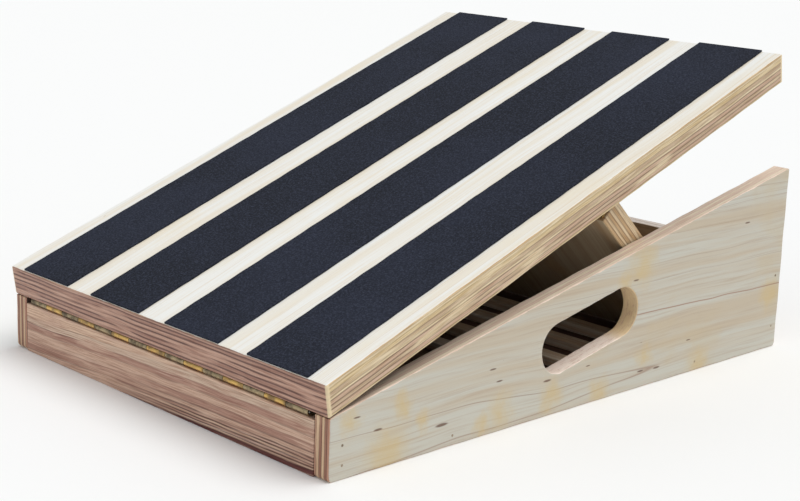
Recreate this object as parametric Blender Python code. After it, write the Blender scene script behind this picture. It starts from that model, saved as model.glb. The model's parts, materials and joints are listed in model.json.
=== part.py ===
"""Adjustable wooden slant board: a shallow plywood base, a hinged standing platform with four grip
strips, and a folding prop panel whose foot stands between cleats on the base's floor.

The frame: +X is the board's right side, -Y its low hinged front, +Y its high back, +Z up. The origin
is the middle of the base's underside, on the ground. Lengths are in metres and angles in degrees.
"""

import math

import bpy
from mathutils import Matrix, Vector

# Overall sizes
WIDTH = 0.305
DEPTH = 0.400
GAP = 0.0003
CUT_MARGIN = 0.002

# Base
SIDE_THICK = 0.012
SIDE_FRONT_HEIGHT = 0.0353
TOP_SLOPE = 12.3
SIDE_FOOT_RADIUS = 0.003
SIDE_NOSE_CHAMFER = 0.0012
HAND_HOLE_CENTRE = (0.0046, 0.0459)
HAND_HOLE_HALF_RUN = 0.0282
HAND_HOLE_RADIUS = 0.0154
FLOOR_THICK = 0.012
FRONT_RAIL_THICK = 0.018
BACK_RAIL_THICK = 0.012
BACK_RAIL_HEIGHT = 0.066
CLEAT_WIDTH = 0.012
CLEAT_HEIGHT = 0.0060
CLEAT_CENTRES = (-0.0170, 0.0175, 0.0520, 0.0865, 0.1412)
BOARD_EDGE = 0.0009

# Platform
PLATFORM_THICK = 0.018
REST_TILT = 20.8
STRIP_WIDTH = 0.050
STRIP_SPACING = 0.075
STRIP_COUNT = 4
STRIP_THICK = 0.0008

# Prop
PROP_THICK = 0.017
PROP_WIDTH = 0.279
PROP_PIVOT_RUN = 0.2485
PROP_OPEN_ANGLE = 65.0

# Hinges: a sheet-brass leaf, its knuckles rolled from the same sheet around a pin
MAIN_BARREL = 0.0020
MAIN_SHEET = 0.0008
MAIN_LEAF = 0.0130
MAIN_PITCH = 0.0180
MAIN_INSET = 0.0021
PROP_BARREL = 0.0030
PROP_SHEET = 0.0009
PROP_LEAF = 0.0155
PROP_PITCH = 0.0184
KNUCKLES = 15
KNUCKLE_CLEARANCE = 0.0002
ROLL_ANGLE = 310.0
ROLL_STEPS = 12

# Fasteners
SCREW_SPACING = 0.050
SCREW_COUNT = 6
SCREW_OFFSET = 0.0082
SCREW_HEAD = 0.0023
SCREW_HEAD_HEIGHT = 0.0011
SCREW_SHANK = 0.0011
SCREW_LENGTH = 0.0100
BRAD_RADIUS = 0.0008
BRAD_LENGTH = 0.030
BRAD_SPREAD = 0.110
ROUND_SIDES = 12

SLOPE = math.radians(TOP_SLOPE)
TILT = math.radians(REST_TILT)
INNER_WIDTH = WIDTH - 2 * SIDE_THICK
RAIL_WIDTH = INNER_WIDTH - 2 * GAP
SIDE_BACK_HEIGHT = SIDE_FRONT_HEIGHT + DEPTH * math.tan(SLOPE)
# The pin's centre keeps the barrel one gap clear of the board above it and the rail below it.
MAIN_CENTRE_TO_BOARD = MAIN_BARREL + GAP
MAIN_AXIS = Vector((
    0.0,
    -DEPTH / 2 + MAIN_INSET,
    SIDE_FRONT_HEIGHT + MAIN_INSET * math.tan(SLOPE) - MAIN_BARREL / math.cos(SLOPE),
))
FRONT_RAIL_HEIGHT = MAIN_AXIS.z - MAIN_CENTRE_TO_BOARD
PROP_CENTRE_TO_BOARD = PROP_BARREL + GAP
# The prop's pin in the platform's own frame, whose origin is the main pin and +Y runs up the slope.
PROP_AXIS_LOCAL = Vector((0.0, PROP_PIVOT_RUN, MAIN_CENTRE_TO_BOARD - PROP_CENTRE_TO_BOARD))


def clear_scene():
    for existing in list(bpy.data.objects):
        bpy.data.objects.remove(existing, do_unlink=True)


def finish(name, colour, roughness, metallic=0.0):
    """A plain Principled material."""
    made = bpy.data.materials.new(name)
    made.use_nodes = True
    shader = made.node_tree.nodes["Principled BSDF"]
    shader.inputs["Base Color"].default_value = (*colour, 1.0)
    shader.inputs["Roughness"].default_value = roughness
    shader.inputs["Metallic"].default_value = metallic
    return made


def place(name, vertices, faces, parent=None):
    """An object from points and faces, in its parent's frame."""
    mesh = bpy.data.meshes.new(name)
    mesh.from_pydata([tuple(v) for v in vertices], [], faces)
    mesh.validate()
    made = bpy.data.objects.new(name, mesh)
    bpy.context.scene.collection.objects.link(made)
    made.parent = parent
    return made


def paint(target, colour, roughness, metallic=0.0):
    target.data.materials.append(finish(target.name + "_finish", colour, roughness, metallic))


def prism(name, outline, low_x, high_x, parent=None):
    """A board: an outline of (y, z) points, anticlockwise seen from +X, run along X."""
    count = len(outline)
    vertices = [(x, y, z) for x in (low_x, high_x) for y, z in outline]
    faces = [tuple(reversed(range(count))), tuple(range(count, 2 * count))]
    for i in range(count):
        j = (i + 1) % count
        faces.append((i, j, j + count, i + count))
    return place(name, vertices, faces, parent)


def rectangle(low_y, high_y, low_z, high_z):
    return [(low_y, low_z), (high_y, low_z), (high_y, high_z), (low_y, high_z)]


def arc(centre, radius, start, end, steps):
    """Points on an arc in the (y, z) plane, from the start angle to the end angle."""
    points = []
    for i in range(steps + 1):
        angle = math.radians(start + (end - start) * i / steps)
        points.append((centre[0] + radius * math.cos(angle), centre[1] + radius * math.sin(angle)))
    return points


def turned(profile):
    """Points and faces of a solid of revolution, from (radius, height) points up its Z axis."""
    vertices = []
    for radius, height in profile:
        for k in range(ROUND_SIDES):
            turn = 2 * math.pi * k / ROUND_SIDES
            vertices.append((radius * math.cos(turn), radius * math.sin(turn), height))
    last = (len(profile) - 1) * ROUND_SIDES
    faces = [tuple(reversed(range(ROUND_SIDES))), tuple(range(last, last + ROUND_SIDES))]
    for low in range(0, last, ROUND_SIDES):
        for k in range(ROUND_SIDES):
            j = (k + 1) % ROUND_SIDES
            faces.append((low + k, low + j, low + ROUND_SIDES + j, low + ROUND_SIDES + k))
    return vertices, faces


def seat_at(point, axis):
    """The matrix that puts a turned solid's base at a point, with its Z axis along axis."""
    turn = Vector((0, 0, 1)).rotation_difference(Vector(axis))
    return Matrix.Translation(point) @ turn.to_matrix().to_4x4()


def as_cutter(target):
    target.hide_render = True
    target.display_type = "WIRE"
    return target


def cut(target, cutter):
    step = target.modifiers.new("cut_" + cutter.name, "BOOLEAN")
    step.operation = "DIFFERENCE"
    step.solver = "EXACT"
    step.object = cutter


def ease_edges(target, width=BOARD_EDGE):
    step = target.modifiers.new("eased_edges", "BEVEL")
    step.width = width
    step.segments = 2
    step.limit_method = "ANGLE"
    step.angle_limit = math.radians(30)
    step.use_clamp_overlap = True


def drill(name, radius, depth, seats, targets, parent=None):
    """Holes one gap wider than their fasteners, cut in each target."""
    for i, seat in enumerate(seats):
        hole = turned([(radius + GAP, -depth - CUT_MARGIN / 2), (radius + GAP, CUT_MARGIN / 2)])
        cutter = as_cutter(place(f"{name}_hole_{i + 1}", *hole, parent))
        cutter.matrix_local = seat
        for target in targets[i]:
            cut(target, cutter)


def fasteners(name, profile, seats, parent, colour, roughness):
    """Equal turned fasteners, one object each, with their heads at the seats."""
    for i, seat in enumerate(seats):
        made = place(f"{name}_{i + 1}", *turned(profile), parent)
        made.matrix_local = seat
        paint(made, colour, roughness, 1.0)


def screws(name, seats, leaf, board, parent):
    """Pan-head screws through a hinge leaf into a board."""
    crown = SCREW_HEAD_HEIGHT
    profile = [
        (SCREW_SHANK * 0.35, -SCREW_LENGTH),
        (SCREW_SHANK, -SCREW_LENGTH + 0.0025),
        (SCREW_SHANK, 0),
        (SCREW_HEAD, 0),
        (SCREW_HEAD, crown * 0.5),
        (SCREW_HEAD * 0.6, crown),
    ]
    fasteners(name, profile, seats, parent, (0.62, 0.60, 0.55), 0.35)
    drill(name, SCREW_SHANK, SCREW_LENGTH, seats, [(leaf, board)] * len(seats), parent)


def brads(name, seats, targets):
    """Fine nails, driven flush through a side panel into the board behind it."""
    profile = [(BRAD_RADIUS * 0.3, -BRAD_LENGTH), (BRAD_RADIUS, -BRAD_LENGTH + 0.002), (BRAD_RADIUS, 0)]
    fasteners(name, profile, seats, None, (0.45, 0.43, 0.40), 0.5)
    drill(name, BRAD_RADIUS, BRAD_LENGTH, seats, targets)


def hinge_leaf(name, barrel, sheet, width, pitch, first, along, side, centre, parent):
    """One leaf of a piano hinge: a flat strip with every second knuckle rolled from its edge.

    along is the (y, z) direction in which the leaf leaves the pin, and side points to its board.
    The sheet is followed from the end of the roll, round the pin and out along the leaf; cells of
    that path by knuckle are solid or left out, and the walls between the two close the body.
    """
    middle = barrel - sheet / 2
    path = []
    for i in range(ROLL_STEPS + 1):
        turn = math.radians(ROLL_ANGLE) * (1 - i / ROLL_STEPS)
        path.append(((-math.sin(turn) * middle, math.cos(turn) * middle), (-math.sin(turn), math.cos(turn))))
    rolled = len(path) - 1
    path.append(((barrel + 2 * GAP, middle), (0.0, 1.0)))
    path.append(((width, middle), (0.0, 1.0)))

    stations = [-KNUCKLES * pitch / 2]
    solid_knuckle = []
    for k in range(KNUCKLES):
        low = (k - KNUCKLES / 2) * pitch
        if k % 2 == first:
            stations += [low + KNUCKLE_CLEARANCE, low + pitch - KNUCKLE_CLEARANCE]
            solid_knuckle += [False, True]
    stations.append(KNUCKLES * pitch / 2)
    solid_knuckle.append(False)

    def point(station, index, face):
        (a, s), (na, ns) = path[index]
        a, s = a + na * sheet / 2 * face, s + ns * sheet / 2 * face
        return Vector((station, centre.y + a * along[0] + s * side[0], centre.z + a * along[1] + s * side[1]))

    def number(i, j, face):
        return (i * len(path) + j) * 2 + (face > 0)

    vertices = [point(x, j, face) for x in stations for j in range(len(path)) for face in (-1, 1)]
    spans, cells = len(stations) - 1, len(path) - 1
    solid = {(i, j) for i in range(spans) for j in range(cells) if j > rolled or solid_knuckle[i]}
    # A leaf whose along and side axes are right-handed about +X needs its faces the other way round.
    flip = along[0] * side[1] - along[1] * side[0] > 0
    faces = []

    def wall(*corners):
        faces.append(tuple(reversed(corners)) if flip else corners)

    for i, j in sorted(solid):
        a, b, c, d = number(i, j, 1), number(i + 1, j, 1), number(i + 1, j + 1, 1), number(i, j + 1, 1)
        e, f, g, h = a - 1, b - 1, c - 1, d - 1
        wall(a, b, c, d)
        wall(h, g, f, e)
        if (i - 1, j) not in solid:
            wall(a, d, h, e)
        if (i + 1, j) not in solid:
            wall(b, f, g, c)
        if (i, j - 1) not in solid:
            wall(a, e, f, b)
        if (i, j + 1) not in solid:
            wall(d, c, g, h)
    used = sorted({v for face in faces for v in face})
    renumber = {old: new for new, old in enumerate(used)}
    made = place(name, [vertices[v] for v in used], [tuple(renumber[v] for v in f) for f in faces], parent)
    paint(made, (0.72, 0.55, 0.26), 0.35, 1.0)
    return made


def hinge_pin(name, barrel, sheet, pitch, centre, parent):
    radius = barrel - sheet - GAP
    length = KNUCKLES * pitch
    ease = radius * 0.3
    profile = [(radius - ease, 0), (radius, ease), (radius, length - ease), (radius - ease, length)]
    made = place(name, *turned(profile), parent)
    made.matrix_local = seat_at(Vector((-length / 2, centre.y, centre.z)), (1, 0, 0))
    paint(made, (0.70, 0.68, 0.62), 0.3, 1.0)
    return made


def leaf_screw_seats(centre, along, side, inner):
    """Seats on a leaf's inner face, inner metres from the pin, facing away from its board."""
    seats = []
    for k in range(SCREW_COUNT):
        x = (k - (SCREW_COUNT - 1) / 2) * SCREW_SPACING
        y = centre.y + along[0] * SCREW_OFFSET + side[0] * (inner - GAP)
        z = centre.z + along[1] * SCREW_OFFSET + side[1] * (inner - GAP)
        seats.append(seat_at(Vector((x, y, z)), (0, -side[0], -side[1])))
    return seats


def side_panel(name, sign):
    """A sloping side, with a chamfered nose under the platform's edge and a slanted hand hole."""
    back, front = DEPTH / 2, -DEPTH / 2
    nose = SIDE_NOSE_CHAMFER
    foot = SIDE_FOOT_RADIUS
    outline = arc((front + foot, foot), foot, 180, 270, 4)
    outline += arc((back - foot, foot), foot, 270, 360, 4)
    outline += [(back, SIDE_BACK_HEIGHT)]
    outline += [(front + nose, SIDE_FRONT_HEIGHT + nose * math.tan(SLOPE)), (front, SIDE_FRONT_HEIGHT - nose)]
    inner, outer = INNER_WIDTH / 2, WIDTH / 2
    panel = prism(name, outline, min(sign * inner, sign * outer), max(sign * inner, sign * outer))
    paint(panel, (0.80, 0.74, 0.62), 0.6)

    run = HAND_HOLE_HALF_RUN
    along = Vector((math.cos(SLOPE), math.sin(SLOPE)))
    ends = [Vector(HAND_HOLE_CENTRE) + along * run, Vector(HAND_HOLE_CENTRE) - along * run]
    hole = arc(ends[0], HAND_HOLE_RADIUS, TOP_SLOPE - 90, TOP_SLOPE + 90, 14)
    hole += arc(ends[1], HAND_HOLE_RADIUS, TOP_SLOPE + 90, TOP_SLOPE + 270, 14)
    low = min(sign * inner, sign * outer) - CUT_MARGIN
    cutter = as_cutter(prism(name + "_hand_hole", hole, low, low + SIDE_THICK + 2 * CUT_MARGIN))
    cut(panel, cutter)
    ease_edges(panel)
    return panel


def build_base():
    back, front = DEPTH / 2, -DEPTH / 2
    half = RAIL_WIDTH / 2
    sides = {"right": side_panel("side_panel_right", 1), "left": side_panel("side_panel_left", -1)}

    front_outline = rectangle(front, front + FRONT_RAIL_THICK, 0, FRONT_RAIL_HEIGHT)
    front_rail = prism("front_rail", front_outline, -half, half)
    back_rail = prism("back_rail", rectangle(back - BACK_RAIL_THICK, back, 0, BACK_RAIL_HEIGHT), -half, half)
    floor_outline = rectangle(front + FRONT_RAIL_THICK + GAP, back - BACK_RAIL_THICK - GAP, 0, FLOOR_THICK)
    floor_panel = prism("floor_panel", floor_outline, -half, half)
    for board in (front_rail, back_rail):
        paint(board, (0.74, 0.62, 0.50), 0.6)
        ease_edges(board, BOARD_EDGE / 2)
    paint(floor_panel, (0.66, 0.54, 0.42), 0.65)

    for i, y in enumerate(CLEAT_CENTRES):
        low = FLOOR_THICK + GAP
        outline = rectangle(y - CLEAT_WIDTH / 2, y + CLEAT_WIDTH / 2, low, low + CLEAT_HEIGHT)
        cleat = prism(f"cleat_{i + 1}", outline, -PROP_WIDTH / 2, PROP_WIDTH / 2)
        paint(cleat, (0.78, 0.70, 0.58), 0.6)
        ease_edges(cleat, BOARD_EDGE / 2)

    rail_y = front + FRONT_RAIL_THICK / 2
    back_y = back - BACK_RAIL_THICK / 2
    spots = [(rail_y, 0.008, front_rail), (rail_y, 0.019, front_rail)]
    spots += [(y, FLOOR_THICK / 2, floor_panel) for y in (-BRAD_SPREAD, BRAD_SPREAD)]
    spots += [(back_y, 0.015, back_rail), (back_y, 0.050, back_rail)]
    for side, sign in (("right", 1), ("left", -1)):
        seats = [seat_at(Vector((sign * WIDTH / 2, y, z)), (sign, 0, 0)) for y, z, _ in spots]
        brads("side_brad_" + side, seats, [(sides[side], board) for _, _, board in spots])
    return front_rail


def build_platform():
    """The board, its strips and the hinge halves on its underside, in the tilted platform's frame."""
    pivot = bpy.data.objects.new("platform_pivot", None)
    bpy.context.scene.collection.objects.link(pivot)
    pivot.location = MAIN_AXIS
    pivot.rotation_euler = (TILT, 0, 0)

    # The ends are cut to stand upright, flush with the sides, when the platform lies folded on them.
    under = MAIN_CENTRE_TO_BOARD
    top = under + PLATFORM_THICK
    lean = math.tan(SLOPE)

    def end_at(run, height):
        """How far up the slope an upright end plane, run metres back from the pin, meets a height."""
        return run / math.cos(SLOPE) + height * lean

    def slab(low, high):
        front, back = -MAIN_INSET, DEPTH - MAIN_INSET
        return [(end_at(front, low), low), (end_at(back, low), low), (end_at(back, high), high),
                (end_at(front, high), high)]

    board = prism("platform_board", slab(under, top), -WIDTH / 2, WIDTH / 2, pivot)
    paint(board, (0.90, 0.86, 0.78), 0.5)
    ease_edges(board)
    for i in range(STRIP_COUNT):
        x = (i - (STRIP_COUNT - 1) / 2) * STRIP_SPACING
        outline = slab(top + GAP, top + GAP + STRIP_THICK)
        strip = prism(f"grip_strip_{i + 1}", outline, x - STRIP_WIDTH / 2, x + STRIP_WIDTH / 2, pivot)
        paint(strip, (0.03, 0.035, 0.06), 0.9)
    return pivot, board


def build_main_hinge(front_rail, pivot, board):
    """The piano hinge in the slot over the front rail."""
    at_rail, at_board = (1, 0), (0, -1)
    base_leaf = hinge_leaf("main_hinge_base_leaf", MAIN_BARREL, MAIN_SHEET, MAIN_LEAF, MAIN_PITCH, 0,
                           at_rail, at_board, MAIN_AXIS, None)
    inner = MAIN_BARREL - MAIN_SHEET
    seats = leaf_screw_seats(MAIN_AXIS, at_rail, at_board, inner)
    screws("main_hinge_base_screw", seats, base_leaf, front_rail, None)

    centre = Vector((0, 0, 0))
    leaf = hinge_leaf("main_hinge_platform_leaf", MAIN_BARREL, MAIN_SHEET, MAIN_LEAF, MAIN_PITCH, 1,
                      (1, 0), (0, 1), centre, pivot)
    seats = leaf_screw_seats(centre, (1, 0), (0, 1), inner)
    screws("main_hinge_platform_screw", seats, leaf, board, pivot)
    hinge_pin("main_hinge_pin", MAIN_BARREL, MAIN_SHEET, MAIN_PITCH, MAIN_AXIS, None)


def build_prop(pivot, board):
    """The prop panel, hung from the platform by a second piano hinge at its top rear edge."""
    prop_pivot = bpy.data.objects.new("prop_pivot", None)
    bpy.context.scene.collection.objects.link(prop_pivot)
    prop_pivot.parent = pivot
    prop_pivot.location = PROP_AXIS_LOCAL
    # In this frame +Y runs down the prop to its foot and +Z out of its rear face.
    prop_pivot.rotation_euler = (-math.radians(PROP_OPEN_ANGLE), 0, 0)

    # The length that brings the foot's lowest corner one gap above the floor.
    fall = math.radians(PROP_OPEN_ANGLE) - TILT
    pin_height = MAIN_AXIS.z + PROP_AXIS_LOCAL.y * math.sin(TILT) + PROP_AXIS_LOCAL.z * math.cos(TILT)
    reach = (pin_height - FLOOR_THICK - GAP - PROP_THICK * math.cos(fall)) / math.sin(fall)
    panel = prism("prop_panel", rectangle(PROP_CENTRE_TO_BOARD, reach, -PROP_THICK, 0),
                  -PROP_WIDTH / 2, PROP_WIDTH / 2, prop_pivot)
    paint(panel, (0.78, 0.70, 0.57), 0.6)
    ease_edges(panel, BOARD_EDGE / 2)

    inner = PROP_BARREL - PROP_SHEET
    leaf = hinge_leaf("prop_hinge_platform_leaf", PROP_BARREL, PROP_SHEET, PROP_LEAF, PROP_PITCH, 0,
                      (-1, 0), (0, 1), PROP_AXIS_LOCAL, pivot)
    seats = leaf_screw_seats(PROP_AXIS_LOCAL, (-1, 0), (0, 1), inner)
    screws("prop_hinge_platform_screw", seats, leaf, board, pivot)
    hinge_pin("prop_hinge_pin", PROP_BARREL, PROP_SHEET, PROP_PITCH, PROP_AXIS_LOCAL, pivot)

    centre = Vector((0, 0, 0))
    leaf = hinge_leaf("prop_hinge_prop_leaf", PROP_BARREL, PROP_SHEET, PROP_LEAF, PROP_PITCH, 1,
                      (0, -1), (1, 0), centre, prop_pivot)
    seats = leaf_screw_seats(centre, (0, -1), (1, 0), inner)
    screws("prop_hinge_prop_screw", seats, leaf, panel, prop_pivot)


clear_scene()
rail = build_base()
platform, platform_board = build_platform()
build_main_hinge(rail, platform, platform_board)
build_prop(platform, platform_board)
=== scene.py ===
# %% [markdown]
# # An adjustable wooden slant board
# A slant board is a wedge to stand on. A shallow plywood base carries a hinged platform with four
# strips of grip tape, and a folding prop under the platform stands between cleats on the base's
# floor. This notebook dresses the fixed frame of that board: every visible piece is a new surface,
# worked out with numpy, that takes the place of a plain solid and rides on the same body.

# %% Load the frame
import json
import math

import bpy
import numpy as np
from mathutils import Matrix, Vector


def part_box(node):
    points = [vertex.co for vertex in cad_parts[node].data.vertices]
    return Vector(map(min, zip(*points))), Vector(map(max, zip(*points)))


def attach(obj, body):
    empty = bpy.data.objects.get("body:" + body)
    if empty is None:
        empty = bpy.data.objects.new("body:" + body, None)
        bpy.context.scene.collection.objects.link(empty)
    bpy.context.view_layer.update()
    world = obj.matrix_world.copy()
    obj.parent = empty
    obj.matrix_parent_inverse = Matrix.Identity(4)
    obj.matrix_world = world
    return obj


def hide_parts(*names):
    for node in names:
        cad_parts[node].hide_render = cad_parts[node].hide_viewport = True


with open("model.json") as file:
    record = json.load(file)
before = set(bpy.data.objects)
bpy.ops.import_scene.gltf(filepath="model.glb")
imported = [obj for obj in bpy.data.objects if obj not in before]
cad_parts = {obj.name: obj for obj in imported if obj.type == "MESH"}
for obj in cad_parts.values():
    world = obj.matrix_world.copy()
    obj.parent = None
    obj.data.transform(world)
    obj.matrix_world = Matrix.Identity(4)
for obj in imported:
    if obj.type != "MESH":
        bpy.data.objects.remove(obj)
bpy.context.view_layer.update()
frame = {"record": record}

MM = 0.001

# %% [markdown]
# The base stands square to the axes, so the box of a node says where a base board goes. The
# platform and the prop are tilted, so their places come from their hinge pins and two angles: the
# platform leans 20.8 degrees, and the prop's rear face leans 44.2 degrees the other way.

# %% The hinge pins and the two tilted frames
REST_TILT = math.radians(20.8)
FOLDED_SLOPE = math.radians(12.3)
PROP_TILT = REST_TILT - math.radians(65.0)
joint_at = {j["name"]: np.array(j["pos_m"]) for j in frame["record"]["behaviour"]["joints"]}
MAIN_PIN = joint_at["platform_fold"]
PROP_PIN = joint_at["prop_fold"]


def tilted(points, origin, angle):
    """Points of a frame turned about X: y' = y cos a - z sin a, z' = y sin a + z cos a, then moved."""
    x, y, z = np.moveaxis(np.asarray(points, float), -1, 0)
    turned_y = y * math.cos(angle) - z * math.sin(angle)
    turned_z = y * math.sin(angle) + z * math.cos(angle)
    return np.stack([x, turned_y, turned_z], -1) + origin


def on_platform(points):
    return tilted(points, MAIN_PIN, REST_TILT)


def on_prop(points):
    return tilted(points, PROP_PIN, PROP_TILT)


print("main pin", MAIN_PIN.round(4), "prop pin", PROP_PIN.round(4))

# %% [markdown]
# ## Meshes from grids
# Nearly every piece here is a grid of points: rings that follow one another along a board, a rod or
# a rolled sheet. One function joins neighbouring grid points with four-sided faces. It then checks
# which way they look by the signed volume they enclose, so no piece comes out inside out.

# %% Turn a grid of points into a mesh object


def grid_faces(rows, columns, wrap_rows, wrap_columns):
    """Faces (i, j), (i+1, j), (i+1, j+1), (i, j+1) of a grid, wrapped round where it closes."""
    i = np.arange(rows if wrap_rows else rows - 1)[:, None]
    j = np.arange(columns if wrap_columns else columns - 1)[None, :]
    below, beside = (i + 1) % rows, (j + 1) % columns
    corners = [i * columns + j, below * columns + j, below * columns + beside, i * columns + beside]
    return np.stack(corners, -1).reshape(-1, 4)


def enclosed_volume(points, faces):
    """Sum of a . (b x c) / 6 over the triangles of each face: positive when the faces look out."""
    total = 0.0
    for face_group in faces:
        corners = points[np.asarray(face_group)]
        for k in range(1, corners.shape[1] - 1):
            a, b, c = corners[:, 0], corners[:, k], corners[:, k + 1]
            total += np.einsum("ij,ij->", a, np.cross(b, c)) / 6
    return total


def make_piece(name, points, faces, body, stands_for, finish, grain=None, sharp=40):
    """A finished mesh object from points and groups of equal-sided faces, riding on a body."""
    points = np.asarray(points, float).reshape(-1, 3)
    if enclosed_volume(points, faces) < 0:
        faces = [np.asarray(group)[:, ::-1] for group in faces]
    mesh = bpy.data.meshes.new(name)
    polygons = [face for group in faces for face in np.asarray(group).tolist()]
    mesh.from_pydata(points.tolist(), [], polygons)
    if grain is not None:
        layer = mesh.attributes.new("grain", "FLOAT_VECTOR", "POINT")
        layer.data.foreach_set("vector", np.asarray(grain, np.float32).ravel())
    mesh.materials.append(finish)
    mesh.shade_smooth()
    mesh.set_sharp_from_angle(angle=math.radians(sharp))
    piece = bpy.data.objects.new(name, mesh)
    bpy.context.scene.collection.objects.link(piece)
    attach(piece, body)
    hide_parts(*stands_for)
    print(name, "has", len(mesh.polygons), "faces")


# %% [markdown]
# ## Boards with eased edges
# A sawn board is never quite sharp: sandpaper takes a millimetre off each arris, a little more here
# and a little less there. A bevelled cube would give every edge the same width. Instead a ring with
# rounded corners is carried along the board, its corner radius wanders slightly, and at both ends
# the ring shrinks along a quarter circle.

# %% A ring with rounded corners, and smooth wandering numbers


def fractions(steps, half):
    """From -1 to 1, with one close step beside each end that keeps the shading of a flat side flat."""
    close = min(0.0006 / half, 0.2)
    return np.concatenate([[-1], np.linspace(-1 + close, 1 - close, steps), [1]])


def rounded_ring(half_u, half_v, steps_u, steps_v, corner_steps=5):
    """Core positions (u, v) in -1..1 and outward directions (p, q), going round a rectangle once."""
    core, outward = [], []
    for side, (steps, half) in enumerate([(steps_v, half_v), (steps_u, half_u)] * 2):
        angle = side * math.pi / 2
        normal = np.array([math.cos(angle), math.sin(angle)])
        tangent = np.array([-normal[1], normal[0]])
        run = fractions(steps, half)
        core.append(normal + tangent * run[:, None])
        outward.append(np.repeat(normal[None], len(run), 0))
        turns = angle + np.linspace(0, math.pi / 2, corner_steps + 1)[1:-1]
        core.append(np.repeat((normal + tangent)[None], len(turns), 0))
        outward.append(np.stack([np.cos(turns), np.sin(turns)], -1))
    return np.concatenate(core), np.concatenate(outward)


def wander(s, seed, length=0.05):
    """A smooth number in about -1..1 that drifts with s: four sines of unrelated wavelengths."""
    random = np.random.default_rng(seed)
    total = np.zeros_like(np.asarray(s, float))
    for k in range(4):
        total += np.sin(2 * math.pi * (s / (length * (0.6 + 0.5 * k)) + random.random())) / (1 + k)
    return total / 1.6


# %% A board as rings along its length


def board_rings(width, length, thick, edge, seed, step=0.006):
    """Points of a board centred on the origin, ring by ring: (across, along, through).

    Near an end, at angle t of the quarter circle, the ring stands edge(1 - sin t) inside the end and
    is drawn in by edge(1 - cos t) all round. Elsewhere its corner radius is edge(1 + wander / 3).
    """
    turn = np.linspace(math.pi / 2, 0, 5)
    reach = length / 2 - edge
    count = max(4, int(2 * reach / step))
    middle = np.linspace(-reach + 0.0006, reach - 0.0006, count)
    along = np.concatenate([-reach - edge * np.sin(turn), middle, (reach + edge * np.sin(turn))[::-1]])
    ease = edge * (1 - np.cos(turn))
    inset = np.concatenate([ease, np.zeros(count), ease[::-1]])
    radius = np.maximum(edge * (1 + wander(along, seed) / 3) - inset, 0.00004)
    steps_across, steps_through = max(3, int(width / step)), max(3, int(thick / 0.003))
    core, outward = rounded_ring(width / 2, thick / 2, steps_across, steps_through)
    half_u = (width / 2 - inset - radius)[:, None]
    half_v = (thick / 2 - inset - radius)[:, None]
    across = core[:, 0] * half_u + outward[:, 0] * radius[:, None]
    through = core[:, 1] * half_v + outward[:, 1] * radius[:, None]
    return np.stack([across, np.broadcast_to(along[:, None], across.shape), through], -1)


def board_faces(rings):
    """The quads between the rings and one flat many-sided cap at each end."""
    rows, columns = rings.shape[:2]
    first_cap = np.arange(columns)[None, :]
    last_cap = (np.arange(columns) + (rows - 1) * columns)[None, ::-1]
    return [grid_faces(rows, columns, False, True), last_cap, first_cap]


# %% [markdown]
# ## Finishes
# Plywood looks different on its face and on its edge. The face is one sheet of pale veneer with fine
# streaks along the grain. The edge is a sandwich: each ply shows its own tone, with a dark line of
# glue between them. So every board carries an attribute called grain, which says in millimetres how
# far a point lies across, along and through its board, and one recipe reads it to know whether it
# paints face or edge, and which ply it has reached.

# %% A small helper that builds a finish node by node


def tint(red, green, blue):
    """Display numbers 0..255 as the linear colour that a shader works with."""
    shown = np.array([red, green, blue]) / 255
    linear = np.where(shown <= 0.04045, shown / 12.92, ((shown + 0.055) / 1.055) ** 2.4)
    return (*linear.tolist(), 1.0)


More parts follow.
